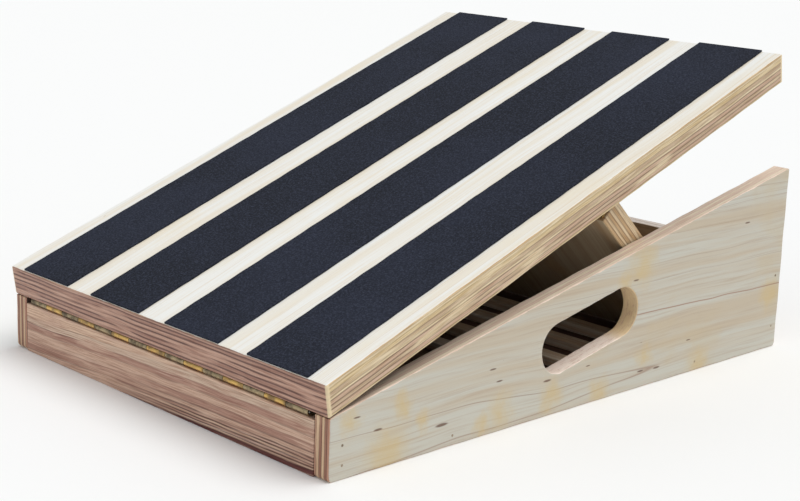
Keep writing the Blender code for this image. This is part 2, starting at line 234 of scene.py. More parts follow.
class Finish:
    """A material in the making: each method adds nodes and hands back an output socket."""

    def __init__(self, name, roughness, metallic=0.0, specular=0.5):
        self.material = bpy.data.materials.new(name)
        self.material.use_nodes = True
        self.tree = self.material.node_tree
        self.shader = self.tree.nodes["Principled BSDF"]
        self.shader.inputs["Roughness"].default_value = roughness
        self.shader.inputs["Metallic"].default_value = metallic
        self.shader.inputs["Specular IOR Level"].default_value = specular

    def add(self, kind, inputs, **settings):
        node = self.tree.nodes.new(kind)
        for key, value in settings.items():
            setattr(node, key, value)
        for socket, value in inputs.items():
            if isinstance(value, bpy.types.NodeSocket):
                self.tree.links.new(value, node.inputs[socket])
            else:
                node.inputs[socket].default_value = value
        return node

    def grain(self, scale=(1, 1, 1), shift=(0, 0, 0)):
        """The board's own millimetres, stretched and moved."""
        read = self.add("ShaderNodeAttribute", {}, attribute_name="grain")
        made = self.add("ShaderNodeMapping", {0: read.outputs["Vector"], "Scale": scale, "Location": shift})
        return made.outputs[0]

    def place(self, scale=(1000, 1000, 1000)):
        """The point's own position on the object, in millimetres unless scaled otherwise."""
        read = self.add("ShaderNodeTexCoord", {})
        return self.add("ShaderNodeMapping", {0: read.outputs["Object"], "Scale": scale}).outputs[0]

    def split(self, vector):
        return self.add("ShaderNodeSeparateXYZ", {0: vector}).outputs

    def join(self, *parts):
        return self.add("ShaderNodeCombineXYZ", dict(enumerate(parts))).outputs[0]

    def math(self, operation, *values):
        return self.add("ShaderNodeMath", dict(enumerate(values)), operation=operation).outputs[0]

    def noise(self, vector, detail=2.0, roughness=0.5, scale=1.0):
        inputs = {"Vector": vector, "Scale": scale, "Detail": detail, "Roughness": roughness}
        return self.add("ShaderNodeTexNoise", inputs).outputs[0]

    def fade(self, value, low, high, out_low=0.0, out_high=1.0):
        """0 below low, 1 above high, and a smooth step between them."""
        inputs = {0: value, 1: low, 2: high, 3: out_low, 4: out_high}
        return self.add("ShaderNodeMapRange", inputs, interpolation_type="SMOOTHSTEP").outputs[0]

    def blend(self, factor, first, second, mode="MIX"):
        node = self.add("ShaderNodeMix", {0: factor}, data_type="RGBA", blend_type=mode)
        for socket, value in ((node.inputs[6], first), (node.inputs[7], second)):
            if isinstance(value, bpy.types.NodeSocket):
                self.tree.links.new(value, socket)
            else:
                socket.default_value = value
        return node.outputs[2]

    def ramp(self, value, stops):
        """Colours at positions 0..1, from a list of (position, colour)."""
        node = self.add("ShaderNodeValToRGB", {0: value})
        elements = node.color_ramp.elements
        elements.remove(elements[1])
        elements[0].position, elements[0].color = stops[0]
        for position, colour in stops[1:]:
            elements.new(position).color = colour
        return node.outputs[0]

    def colour(self, value):
        self.tree.links.new(value, self.shader.inputs["Base Color"])

    def rough(self, value):
        self.tree.links.new(value, self.shader.inputs["Roughness"])

    def bump(self, height, depth):
        """Raises the surface by up to depth metres where height is 1."""
        node = self.add("ShaderNodeBump", {"Height": height, "Distance": depth, "Strength": 1.0})
        self.tree.links.new(node.outputs[0], self.shader.inputs["Normal"])


# %% The sandwich of plies on a board's edge


def lay_up(plies, glue, line):
    """Ramp stops from a list of (thickness, colour, darkness of the glue line above it)."""
    total = sum(ply[0] for ply in plies)
    stops, level = [], 0.0
    for k, (thick, tone, dark) in enumerate(plies):
        low, high = level / total, (level + thick) / total
        level += thick
        if k:
            low += line / total
        stops.append((low, tone))
        if k < len(plies) - 1:
            stops.append((high - line / total, tone))
            stops.append((high, tuple(t * (1 - dark) + g * dark for t, g in zip(tone, glue))))
    return stops


def edge_wood(finish, plies, half, glue, drift, streak, seed, line=0.32, slant=0.0):
    """The laminated edge: through plus a slow wander picks the ply, and long fibres streak it.

    In slow patches the plies fade towards the middle one, so the glue lines come and go.
    """
    across, along, through = finish.split(finish.grain())
    through = finish.math("MULTIPLY_ADD", along, -slant, through)
    run = finish.math("ADD", across, along)
    low = finish.join(finish.math("MULTIPLY", run, 0.012), seed, finish.math("MULTIPLY", through, 0.05))
    shift = finish.math("MULTIPLY", finish.math("SUBTRACT", finish.noise(low, 3.0), 0.5), drift)
    level = finish.math("ADD", through, shift)
    position = finish.math("DIVIDE", finish.math("ADD", level, half), 2 * half)
    plain = finish.ramp(position, lay_up(plies, glue, line))
    patch = finish.join(finish.math("MULTIPLY", run, 0.022), seed + 8.1, finish.math("MULTIPLY", level, 0.22))
    middle_tone = plies[len(plies) // 2][1]
    plain = finish.blend(finish.fade(finish.noise(patch, 3.0), 0.50, 0.66, 0.0, 0.8), plain, middle_tone)
    fibres = finish.join(finish.math("MULTIPLY", run, 0.045), seed + 3.7, finish.math("MULTIPLY", level, 1.9))
    streaks = finish.noise(fibres, 5.0, 0.65)
    shaded = finish.blend(finish.fade(streaks, 0.33, 0.62), streak[0], streak[1])
    return finish.blend(0.85, plain, shaded, "MULTIPLY"), streaks


# %% The veneer on a board's face


def line_tint(warm, line, share=0.35):
    """The tone of the pores: a share of the way from the warm veneer to its darkest line."""
    return tuple(w * (1 - share) + d * share for w, d in zip(warm, line))


def face_wood(finish, pale, warm, line, stain, fleck, seed, stain_amount=0.6, wide=1.0):
    """Veneer: wide soft bands that bend round each other, fine pores, thin lines, stains and flecks."""
    bend = finish.noise(finish.grain((0.016, 0.006, 0.0), (seed, 0, 0)), 2.0)
    across, along, _ = finish.split(finish.grain())
    warped = finish.math("MULTIPLY_ADD", bend, 12.0, across)

    def streak(cross, lengthwise, offset, detail):
        vector = finish.join(finish.math("MULTIPLY", warped, cross),
                             finish.math("MULTIPLY", along, lengthwise), seed + offset)
        return finish.noise(vector, detail, 0.6)

    bands = streak(0.11 * wide, 0.0028, 0.0, 4.0)
    pores = streak(0.85, 0.016, 5.0, 4.0)
    lines = finish.math("ABSOLUTE", finish.math("SUBTRACT", streak(0.045, 0.0007, 9.0, 0.0), 0.5))
    base = finish.blend(finish.fade(bands, 0.36, 0.66), pale, warm)
    base = finish.blend(finish.fade(pores, 0.46, 0.74, 0.0, 0.6), base, line_tint(warm, line))
    base = finish.blend(finish.fade(lines, 0.0, 0.0045, 0.6, 0.0), base, line)
    blots = finish.noise(finish.grain((0.022, 0.013, 0.0), (seed * 2.0, 3.1, 0)), 4.0, 0.55)
    base = finish.blend(finish.fade(blots, 0.55, 0.68, 0.0, stain_amount), base, stain)
    spots = finish.noise(finish.grain((0.42, 0.085, 0.0), (seed * 3.0, 1.7, 0)), 2.0, 0.5)
    base = finish.blend(finish.fade(spots, 0.765, 0.80, 0.0, 0.85), base, fleck)
    return base, pores


def spots(finish, places, ragged, stretch=1.0, soft=0.5):
    """Soft blots at (along, across, radius) in millimetres, with ragged outlines, as one mask."""
    wide = finish.grain((0.06, 0.06 * stretch, 0.0))
    noise = finish.add("ShaderNodeTexNoise", {"Vector": wide, "Scale": 1.0, "Detail": 6.0,
                                              "Roughness": 0.68}).outputs["Color"]
    shift = finish.add("ShaderNodeVectorMath", {0: noise, 1: (ragged, ragged, 0.0),
                                                2: (-ragged / 2, -ragged / 2, 0.0)}, operation="MULTIPLY_ADD")
    flat = finish.grain((1.0, stretch, 0.0))
    moved = finish.add("ShaderNodeVectorMath", {0: flat, 1: shift.outputs[0]}, operation="ADD").outputs[0]
    mask = 0.0
    for along, across, radius in places:
        reach = finish.add("ShaderNodeVectorMath", {0: moved, 1: (across, along * stretch, 0.0)},
                           operation="DISTANCE").outputs["Value"]
        mask = finish.math("MAXIMUM", finish.fade(reach, radius * soft, radius, 1.0, 0.0), mask)
    return mask


def veneer_mask(finish, half, veneer, ragged):
    """1 on the face veneer and 0 on the plies, with a ragged sanded boundary between them."""
    through = finish.math("ABSOLUTE", finish.split(finish.grain())[2])
    rag = finish.noise(finish.grain((0.16, 0.16, 0.0)), 4.0, 0.6)
    limit = finish.math("MULTIPLY_ADD", rag, ragged, half - veneer - ragged * 0.5)
    return finish.math("SMOOTH_MIN", finish.fade(finish.math("SUBTRACT", through, limit), -0.04, 0.05),
                       1.0, 0.01)


print("finish recipes ready")

# %% [markdown]
# Each board gets its own sheet. The side panels are pale greenish veneer with yellow varnish stains,
# the rails and the platform's front are sawn across a pinkish board with maroon glue lines, and the
# platform's long edges are tan above and greyer below.

# %% Plywood tones
GLUE = tint(80, 44, 42)
SOFT_GLUE = tint(146, 108, 84)
FLECK = tint(104, 74, 58)
# A dark brown multiplied over the sides' inner faces and the platform's underside: painted shade.
INNER_PAINTED_SHADE = tint(92, 64, 54)
STREAK_SOFT = (tint(232, 218, 206), tint(255, 252, 248))
STREAK_TAN = (tint(206, 186, 154), tint(255, 252, 244))
STREAK_STRONG = (tint(196, 168, 156), tint(255, 250, 244))

# Each mark is (along the board, height, radius) in millimetres.
STAINS = [(50, 78, 15), (36, 69, 9), (15, 5, 11), (-29, 12, 12), (-72, 12, 13), (-88, 6, 9), (112, 4, 13),
          (188, 38, 13), (-186, 31, 8), (-160, 7, 18), (-135, 20, 7), (-150, 32, 9), (58, 20, 9)]
DARK_FLECKS = [(-33, 22, 1.6), (54, 10.6, 1.3), (70, 9.8, 1.5), (44, 70, 1.2), (157, 91, 1.3), (-166, 22, 1.5),
               (-119, 14, 2.2), (-181, 32, 1.1), (-80, 38, 1.2), (-74, 30, 1.2), (101, 22, 1.0), (3, 24, 0.9)]


def side_finish(name, seed, fleck_step=1):
    """Side boards: 12 mm, six plies, pale veneer outside, and painted shade darkening the inner face."""
    finish = Finish(name, 0.52, specular=0.35)
    pale, warm = tint(202, 199, 187), tint(198, 184, 162)
    face, pores = face_wood(finish, pale, warm, tint(150, 116, 96), tint(200, 178, 136), FLECK, seed, 0.25)
    across, along, through = finish.split(finish.grain())
    stained = spots(finish, [(y, z, r * 1.25) for y, z, r in STAINS], 26.0, 1.0, 0.0)
    face = finish.blend(finish.math("MULTIPLY", stained, 0.62), face, tint(208, 182, 128))
    flecked = spots(finish, [(y, z, r * 0.55) for y, z, r in DARK_FLECKS[::fleck_step]], 0.8, 0.2)
    face = finish.blend(finish.math("MULTIPLY", flecked, 0.85), face, FLECK)
    wavy = finish.noise(finish.grain((0.0, 0.02, 0.0), (0, seed, 0)), 2.0)
    seam = finish.math("MULTIPLY_ADD", along, 0.025, finish.math("MULTIPLY_ADD", wavy, 2.5, across))
    seam = finish.math("ABSOLUTE", finish.math("SUBTRACT", seam, 50.3))
    seam = finish.math("MULTIPLY", finish.fade(seam, 0.15, 0.6, 0.75, 0.0), finish.fade(along, 40.0, 52.0))
    face = finish.blend(seam, face, tint(158, 118, 98))
    rose, tan, brown = tint(244, 224, 208), tint(248, 236, 214), tint(236, 214, 196)
    plies = [(1.2, tan, 0.2), (2.5, rose, 0.4), (2.3, tan, 0.25), (2.3, brown, 0.45), (2.5, tan, 0.25),
             (1.2, rose, 0)]
    edge, streaks = edge_wood(finish, plies, 6.0, SOFT_GLUE, 1.4, STREAK_SOFT, seed)

    # The hand hole's wall lies within 20 mm of its slanted axis.
    lean = finish.math("MULTIPLY_ADD", along, -math.tan(FOLDED_SLOPE), across)
    in_hole = finish.fade(finish.math("ABSOLUTE", finish.math("SUBTRACT", lean, 44.9)), 20.0, 22.0, 1.0, 0.0)
    in_hole = finish.math("MULTIPLY", in_hole, finish.fade(finish.math("ABSOLUTE", along), 60.0, 64.0, 1.0,
                                                           0.0))
    routed = finish.blend(finish.fade(along, 24.0, 40.0), tint(255, 240, 228), tint(236, 208, 160))
    torn = finish.noise(finish.grain((0.3, 0.12, 0.9)), 5.0, 0.7)
    routed = finish.blend(finish.fade(torn, 0.50, 0.64, 0.0, 0.5), routed, tint(196, 150, 128))
    edge = finish.blend(finish.math("MULTIPLY", in_hole, 0.8), edge, routed)

    dusk, sand, cocoa = tint(200, 156, 134), tint(232, 204, 170), tint(164, 122, 102)
    ends = [(1.8, dusk, 0.8), (2.1, sand, 0.7), (2.2, cocoa, 0.8), (2.1, sand, 0.7), (1.9, cocoa, 0.8),
            (1.9, dusk, 0)]
    end, _ = edge_wood(finish, ends, 6.0, GLUE, 0.35, STREAK_STRONG, seed + 2, 0.4)
    edge = finish.blend(finish.fade(along, -198.6, -199.4), edge, end)
    # Painted shade: the inner face, past 5.6 mm in, is multiplied by the dark inner shade brown.
    face = finish.blend(finish.fade(through, -5.0, -5.6), face, finish.blend(0.96, face, INNER_PAINTED_SHADE,
                                                                             "MULTIPLY"))
    finish.colour(finish.blend(veneer_mask(finish, 6.0, 0.25, 0.7), edge, face))
    finish.rough(finish.fade(pores, 0.3, 0.7, 0.46, 0.60))
    finish.bump(finish.math("ADD", pores, finish.math("MULTIPLY", streaks, 0.6)), 0.00012)
    return finish.material


def rail_finish(name, half, seed):
    """Front rail: plies lie flat, pink in the middle, grey-tan above, maroon glue lines low down."""
    finish = Finish(name, 0.62, specular=0.3)
    rose, tan, grey, maroon = tint(212, 178, 160), tint(234, 206, 182), tint(224, 202, 182), tint(112, 66, 62)
    blush, deep = tint(224, 194, 174), tint(192, 154, 138)
    lined = [(0.9, maroon, 0.9), (1.6, tan, 1.0), (1.7, rose, 1.0), (1.8, tan, 1.0), (1.9, rose, 0.9),
             (3.0, blush, 0.7), (4.2, deep, 0.3), (4.8, blush, 0.5), (4.2, deep, 0.2), (4.2, grey, 0.1),
             (3.3, tan, 0)]
    quiet = [(0.9, maroon, 0.8), (2.6, rose, 0.4), (3.4, blush, 0.6), (3.0, deep, 0.3), (2.3, rose, 0.3),
             (2.3, blush, 0.2), (4.6, blush, 0.4), (4.2, deep, 0.6), (4.2, grey, 0.3), (4.0, tan, 0)]
    right, streaks = edge_wood(finish, lined, half, GLUE, 3.6, STREAK_STRONG, seed, 0.8, 0.018)
    left, _ = edge_wood(finish, quiet, half, GLUE, 5.0, STREAK_STRONG, seed + 4, 0.5, 0.03)
    across, along, through = finish.split(finish.grain())
    wood = finish.blend(finish.fade(along, -70.0, 40.0), left, right)
    rise = finish.math("MULTIPLY_ADD", along, -0.045, through)
    slanted = finish.join(finish.math("MULTIPLY", along, 0.011), seed, rise)
    fine = finish.noise(slanted, 4.0, 0.7, 0.9)
    wood = finish.blend(finish.fade(fine, 0.58, 0.74, 0.0, 0.6), wood, tint(240, 216, 198))
    wood = finish.blend(finish.fade(fine, 0.42, 0.28, 0.0, 0.5), wood, tint(150, 106, 94))
    finish.colour(wood)
    finish.bump(streaks, 0.00018)
    return finish.material


def board_finish(name, half, seed, tones):
    """Inner boards: floor, back rail and prop, in one face tone with two edge tones, tan and brown on the prop;
    the floor's tones are painted shade, and the back rail's are painted shade on its face and painted sky light
    on its edges.
    """
    finish = Finish(name, 0.58, specular=0.3)
    pale, warm, edge_a, edge_b = tones
    face, pores = face_wood(finish, pale, warm, tint(168, 128, 98), tint(206, 172, 124), FLECK, seed, 0.4)
    count = 5 if half < 7 else 7
    plies = [(1.0, edge_a if k % 2 else edge_b, 0.7) for k in range(count)]
    edge, streaks = edge_wood(finish, plies, half, SOFT_GLUE, 0.5, STREAK_TAN, seed)
    finish.colour(finish.blend(veneer_mask(finish, half, 0.25, 0.5), edge, face))
    finish.bump(finish.math("ADD", pores, streaks), 0.00012)
    return finish.material


# %% The platform's own finish


def platform_finish(half, half_length):
    """Near-white veneer on top and painted shade on the underside; tan and grey plies on the long edges, pink
    and maroon on the ends.
    """
    finish = Finish("platform_plywood", 0.50, specular=0.35)
    pale, warm = tint(243, 243, 239), tint(238, 230, 214)
    face, pores = face_wood(finish, pale, warm, tint(216, 190, 160), tint(238, 224, 194), tint(170, 140, 110),
                            7.3, 0.25, 1.6)
    across, along, through = finish.split(finish.grain())
    # Painted shade: the underside is multiplied by the dark inner shade brown.
    face = finish.blend(finish.fade(through, -6.0, -8.0), face, finish.blend(0.96, face, INNER_PAINTED_SHADE,
                                                                             "MULTIPLY"))
    tan, light, grey, pink = tint(226, 206, 168), tint(236, 220, 190), tint(206, 184, 160), tint(212, 184, 164)
    long_plies = [(1.5, tan, 0.6), (2.4, pink, 0.8), (2.4, grey, 0.85), (2.6, pink, 0.8), (1.6, light, 0.5),
                  (2.6, grey, 0.5), (2.6, tan, 0.3), (1.6, light, 0.4), (1.2, tint(220, 192, 154), 0)]
    side, streaks = edge_wood(finish, long_plies, half, tint(96, 70, 54), 2.2, STREAK_TAN, 2.2, 0.6)
    rose, dusk = tint(208, 172, 154), tint(186, 148, 132)
    end_plies = [(2.0, dusk, 0.95), (2.6, rose, 1.0), (2.9, dusk, 0.95), (2.9, rose, 1.0), (2.9, rose, 0.95),
                 (2.5, dusk, 0.9), (1.6, rose, 0.6), (0.6, tint(214, 180, 150), 0)]
    end, end_streaks = edge_wood(finish, end_plies, half, GLUE, 3.6, STREAK_STRONG, 5.1, 0.9)
    to_end = finish.math("ABSOLUTE", along)
    at_end = finish.fade(to_end, half_length - 1.5, half_length - 0.9)
    edge = finish.blend(at_end, side, end)
    worn = finish.math("MULTIPLY", finish.fade(finish.math("ABSOLUTE", across), 150.9, 151.8),
                       finish.fade(to_end, half_length - 2.6, half_length - 1.2))
    edge = finish.blend(finish.math("MULTIPLY", worn, 0.85), edge, tint(238, 218, 178))
    finish.colour(finish.blend(veneer_mask(finish, half, 0.2, 0.35), edge, face))
    finish.rough(finish.fade(pores, 0.3, 0.7, 0.42, 0.56))
    finish.bump(finish.math("ADD", pores, finish.math("MULTIPLY", finish.math("ADD", streaks, end_streaks),
                                                      0.8)),
                0.00012)
    return finish.material


# %% [markdown]
# Grip tape is mineral grit on a rubbery blue-black film. Its grains are about 0.3 mm, so they are
# bump and speckle in the finish, while the slow swell of the tape over the wood is in its mesh.

# %% Grip tape, metals and softwood


def grip_finish():
    finish = Finish("grit_tape", 0.86, specular=0.2)
    grit = finish.add("ShaderNodeTexVoronoi", {"Vector": finish.place(), "Scale": 1.5}).outputs["Distance"]
    cloud = finish.noise(finish.place((9.0, 9.0, 9.0)), 4.0, 0.6)
    speckle = finish.noise(finish.place(), 3.0, 0.75, 0.8)
    base = finish.blend(finish.fade(cloud, 0.35, 0.68), tint(25, 28, 37), tint(33, 37, 50))
    base = finish.blend(finish.fade(speckle, 0.42, 0.72, 0.0, 0.75), base, tint(62, 67, 84))
    finish.colour(finish.blend(finish.fade(grit, 0.02, 0.16, 0.28, 0.0), base, tint(120, 126, 144)))
    finish.rough(finish.fade(grit, 0.1, 0.5, 0.76, 0.95))
    finish.bump(finish.math("SUBTRACT", speckle, finish.math("MULTIPLY", grit, 0.5)), 0.0003)
    return finish.material


def metal_finish(name, bright, dull, roughness, lengthwise=(160.0, 900.0, 900.0)):
    """Rolled metal: fine drawn lines along X, with dull patches where it has tarnished."""
    finish = Finish(name, roughness, 1.0)
    tarnish = finish.noise(finish.place((140.0, 140.0, 140.0)), 4.0, 0.6)
    lines = finish.noise(finish.place(lengthwise), 3.0, 0.6)
    finish.colour(finish.blend(finish.fade(tarnish, 0.40, 0.66), bright, dull))
    finish.rough(finish.fade(tarnish, 0.35, 0.7, roughness - 0.08, roughness + 0.2))
    finish.bump(lines, 0.00003)
    return finish.material


def cleat_finish():
    finish = Finish("cleat_softwood", 0.6, specular=0.3)
    rings = finish.noise(finish.place((14.0, 420.0, 420.0)), 3.0, 0.6)
    pores = finish.noise(finish.place((60.0, 2600.0, 2600.0)), 3.0, 0.6)
    base = finish.blend(finish.fade(rings, 0.38, 0.62), tint(240, 226, 206), tint(222, 196, 166))
    finish.colour(finish.blend(finish.fade(pores, 0.5, 0.75, 0.0, 0.4), base, tint(176, 142, 110)))
    finish.bump(pores, 0.0001)
    return finish.material


GRIP = grip_finish()
BRASS = metal_finish("hinge_brass", tint(214, 176, 104), tint(156, 130, 92), 0.36)
# Painted shade: a darker copy of the brass, standing for the shadowed knuckles of the front hinge's lower leaf.
PAINTED_SHADE_BRASS = metal_finish("hinge_brass_painted_shade", tint(176, 158, 124), tint(118, 106, 88), 0.45)
STEEL = metal_finish("pin_steel", tint(206, 204, 198), tint(158, 154, 146), 0.32)
SCREW = metal_finish("screw_yellow_zinc", tint(216, 200, 156), tint(170, 156, 126), 0.30, (900.0, 900.0, 900.0))
NAIL = metal_finish("nail_steel", tint(176, 160, 140), tint(128, 112, 96), 0.55, (900.0, 900.0, 900.0))
SOFTWOOD = cleat_finish()
print("materials:", [m.name for m in bpy.data.materials])

# %% [markdown]
# ## The side panels
# Each side is one board with a slanted hand hole through it. Between the hole and the outline runs a
# closed strip, so the panel is a ring like a bicycle tyre: one direction of the grid goes round the
# hole, and the other goes over the outer face, across the edge, back over the inner face and through
# the hole. Nothing has to be cut, and both arrises get their own rounding.

# %% Outlines as points with outward normals


def rounded_outline(corners, radii, steps=8):
    """A convex outline, anticlockwise, whose corners are arcs: points and normals along it.

    At each corner the centre of the arc lies radius / sin(half the corner's angle) along its
    bisector, and the arc turns from one side's normal to the next one's.
    """
    corners = np.asarray(corners, float)
    ahead = np.roll(corners, -1, 0) - corners
    ahead /= np.linalg.norm(ahead, axis=1)[:, None]
    normals = np.stack([ahead[:, 1], -ahead[:, 0]], -1)
    points, outward = [], []
    for k, radius in enumerate(radii):
        before, after = normals[k - 1], normals[k]
        middle = (before + after) / np.linalg.norm(before + after)
        centre = corners[k] - middle * radius / np.dot(middle, after)
        start = math.atan2(before[1], before[0])
        sweep = (math.atan2(after[1], after[0]) - start) % (2 * math.pi)
        turns = start + sweep * np.linspace(0, 1, steps + 1)
        around = np.stack([np.cos(turns), np.sin(turns)], -1)
        points.append(centre + around * radius)
        outward.append(around)
    return np.concatenate(points), np.concatenate(outward)


def densified(points, normals, spacing=0.0005):
    """The closed outline with a point every half millimetre, by straight interpolation."""
    closed = [np.concatenate([a, a[:1]]) for a in (points, normals)]
    run = np.concatenate([[0], np.cumsum(np.linalg.norm(np.diff(closed[0], axis=0), axis=1))])
    wanted = np.unique(np.concatenate([run[:-1], np.arange(0, run[-1], spacing)]))
    return [np.stack([np.interp(wanted, run, a[:, k]) for k in (0, 1)], -1) for a in closed]


def by_angle(points, normals, centre, angles):
    """The outline read at given angles about a centre inside it, by straight interpolation."""
    points, normals = densified(points, normals)
    found = np.unwrap(np.arctan2(points[:, 1] - centre[1], points[:, 0] - centre[0]))
    found, points, normals = (np.concatenate([a, [a[0] + extra]]) for a, extra in
                              ((found, 2 * math.pi), (points, 0), (normals, 0)))
    wanted = (angles - found[0]) % (2 * math.pi) + found[0]
    place = np.stack([np.interp(wanted, found, points[:, k]) for k in (0, 1)], -1)
    normal = np.stack([np.interp(wanted, found, normals[:, k]) for k in (0, 1)], -1)
    return place, normal / np.linalg.norm(normal, axis=1)[:, None]


# %% The side panel's grid
HOLE_CENTRE = np.array([0.0046, 0.0459])
HOLE_HALF_RUN, HOLE_RADIUS = 0.0282, 0.0154


def side_board(name, node, outside, finish, seed):
    """Points go round the hole by angle and over the section by quarter circles at four arrises."""
    low, high = (np.array(corner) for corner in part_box(node))
    front_top = high[2] - (high[1] - low[1]) * math.tan(FOLDED_SLOPE)
    corners = [(low[1], low[2]), (high[1], low[2]), (high[1], high[2]), (low[1], front_top)]
    outline, outward = rounded_outline(corners, [0.003, 0.003, 0.0012, 0.0012])
    run = np.array([math.cos(FOLDED_SLOPE), math.sin(FOLDED_SLOPE)]) * HOLE_HALF_RUN
    rise = np.array([-run[1], run[0]]) / HOLE_HALF_RUN * HOLE_RADIUS
    box = [HOLE_CENTRE + a * (run / HOLE_HALF_RUN * (HOLE_HALF_RUN + HOLE_RADIUS)) + b * rise
           for a, b in ((-1, -1), (1, -1), (1, 1), (-1, 1))]
    hole, hole_out = rounded_outline(box, [HOLE_RADIUS - 0.00001] * 4, 16)

    def angles_of(points):
        closed = np.concatenate([points, points[:1]])
        fine = np.concatenate([np.linspace(a, b, 2 + int(np.linalg.norm(b - a) / 0.004))[:-1]
                               for a, b in zip(closed[:-1], closed[1:])])
        return np.arctan2(fine[:, 1] - HOLE_CENTRE[1], fine[:, 0] - HOLE_CENTRE[0])

    angles = np.unique(np.round(np.concatenate([angles_of(outline), angles_of(hole)]), 4))
    angles = angles[np.diff(np.concatenate([angles, [angles[0] + 2 * math.pi]])) > 0.0008]
    far, far_out = by_angle(outline, outward, HOLE_CENTRE, angles)
    near, near_out = by_angle(hole, hole_out, HOLE_CENTRE, angles)

    half = (high[0] - low[0]) / 2
    far_edge = 0.0010 * (1 + 0.35 * wander(far[:, 0] + far[:, 1], seed))
    near_edge = 0.0008 * (1 + 0.2 * wander(near[:, 0] * 2 - near[:, 1], seed + 1, 0.03))
    turn = np.linspace(0, math.pi / 2, 5)
    share = np.concatenate([[0.012], np.linspace(0.06, 0.94, 9), [0.988]])
    wall = fractions(3, half)
    sections = []

    def corner(anchor, direction, edge, side, order):
        """A quarter circle from the face (turn 0) to the edge (turn 90 degrees) at one arris."""
        for t in turn[::order]:
            place = anchor + direction * (edge * (math.sin(t) - 1))[:, None]
            sections.append((place, side * (half - edge * (1 - math.cos(t)))))

    def across_face(side, order):
        start, end = near + near_out * near_edge[:, None], far - far_out * far_edge[:, None]
        for f in share[::order]:
            sections.append((start + (end - start) * f, np.full(len(angles), side * half)))

    def across_wall(anchor, edge, side):
        for w in wall[1:-1]:
            sections.append((anchor, -side * w * (half - edge)))

    across_face(1, 1)
    corner(far, far_out, far_edge, 1, 1)
    across_wall(far, far_edge, 1)
    corner(far, far_out, far_edge, -1, -1)
    across_face(-1, -1)
    corner(near, -near_out, near_edge, -1, 1)
    across_wall(near, near_edge, -1)
    corner(near, -near_out, near_edge, 1, -1)

    plane = np.stack([section[0] for section in sections], 1)
    through = np.stack([section[1] for section in sections], 1)
    points = np.stack([through + (low[0] + high[0]) / 2, plane[..., 0], plane[..., 1]], -1)
    grain = np.stack([plane[..., 1], plane[..., 0], through * outside], -1) / MM
    make_piece(name, points, [grid_faces(*points.shape[:2], True, True)], "base",
               [node], finish, grain.reshape(-1, 3))


side_board("side_board_right", "side_panel_right", 1, side_finish("side_plywood_right", 1.4), 3)
side_board("side_board_left", "side_panel_left", -1, side_finish("side_plywood_left", 8.2, 3), 4)

# %% [markdown]
# ## The base's other boards
# The floor, the two rails and the cleats stand square to the axes. Each is a ring carried along its
# grain and then laid down along X or Y, in the box of the solid that it stands for.

# %% Boards that stand square
AXES = {"along_x": ((0, 1, 0), (1, 0, 0), (0, 0, 1)), "along_y": ((1, 0, 0), (0, 1, 0), (0, 0, 1)),
        "upright_x": ((0, 0, 1), (1, 0, 0), (0, 1, 0))}


def square_board(name, node, lay, edge, finish, seed, shift=0.0):
    """A board in a node's box; lay names the directions of its width, its length and its thickness."""
    low, high = (np.array(corner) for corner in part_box(node))
    axes = np.array(AXES[lay], float)
    width, length, thick = axes @ (high - low)
    rings = board_rings(width, length, thick, edge, seed)
    points = rings @ axes + (low + high) / 2
    grain = rings.reshape(-1, 3) / MM + np.array([0, shift, 0])
    make_piece(name, points, board_faces(rings), "base", [node], finish, grain)


rail_low, rail_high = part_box("front_rail")
FRONT = rail_finish("front_rail_plywood", (rail_high[2] - rail_low[2]) / 2 / MM, 4.0)
# Painted light and shade: the near-white bluish edge tones are painted sky light on the rail's top edge, and
# the brown face tones are painted shade on its inner face.
BACK = board_finish("back_rail_plywood_painted_light_and_shade", 6.0, 12.6,
                    (tint(186, 164, 136), tint(160, 132, 104), tint(246, 244, 246), tint(232, 226, 226)))
# Painted shade: the floor's dark brown face and edge tones stand for the shade under the platform.
FLOOR = board_finish("floor_plywood_painted_shade", 6.0, 17.9,
                     (tint(106, 78, 66), tint(88, 62, 52), tint(170, 136, 114), tint(128, 92, 76)))
square_board("front_board", "front_rail", "along_x", 0.0006, FRONT, 11)
square_board("back_board", "back_rail", "upright_x", 0.0007, BACK, 12)
square_board("floor_board", "floor_panel", "along_x", 0.0004, FLOOR, 13)
for k in range(1, 6):
    square_board(f"cleat_board_{k}", f"cleat_{k}", "along_x", 0.0007, SOFTWOOD, 20 + k, 900.0 * k)

# %% [markdown]
# ## The platform and its grip strips
# The platform's ends are sawn to stand upright when it lies folded on the sides, so each section is
# sheared: the higher a point lies in the board, the further it moves up the slope. The tape is a
# long thin ring of its own. It swells by a tenth of a millimetre and its cut edges are not quite
# straight, which is what keeps it from looking like paint.

# %% The platform board
DEPTH, WIDTH = 0.400, 0.305
PLATFORM_UNDER, PLATFORM_THICK = 0.0023, 0.018
END_INSET = 0.0021


def sheared(points, level):
    """(x, y, z) to the sloping frame: the run up the slope gains z tan(12.3 degrees)."""
    x, y, z = np.moveaxis(points, -1, 0)
    z = z + level
    run = y + (DEPTH / 2 - END_INSET) / math.cos(FOLDED_SLOPE)
    return np.stack([x, run + z * math.tan(FOLDED_SLOPE), z], -1)


PLATFORM_LENGTH = DEPTH / math.cos(FOLDED_SLOPE)
platform_rings = board_rings(WIDTH, PLATFORM_LENGTH, PLATFORM_THICK, 0.0009, 31)
platform_points = on_platform(sheared(platform_rings, PLATFORM_UNDER + PLATFORM_THICK / 2))
DECK = platform_finish(PLATFORM_THICK / 2 / MM, PLATFORM_LENGTH / 2 / MM)
make_piece("platform_deck", platform_points, board_faces(platform_rings), "platform",
           ["platform_board"], DECK, platform_rings.reshape(-1, 3) / MM)

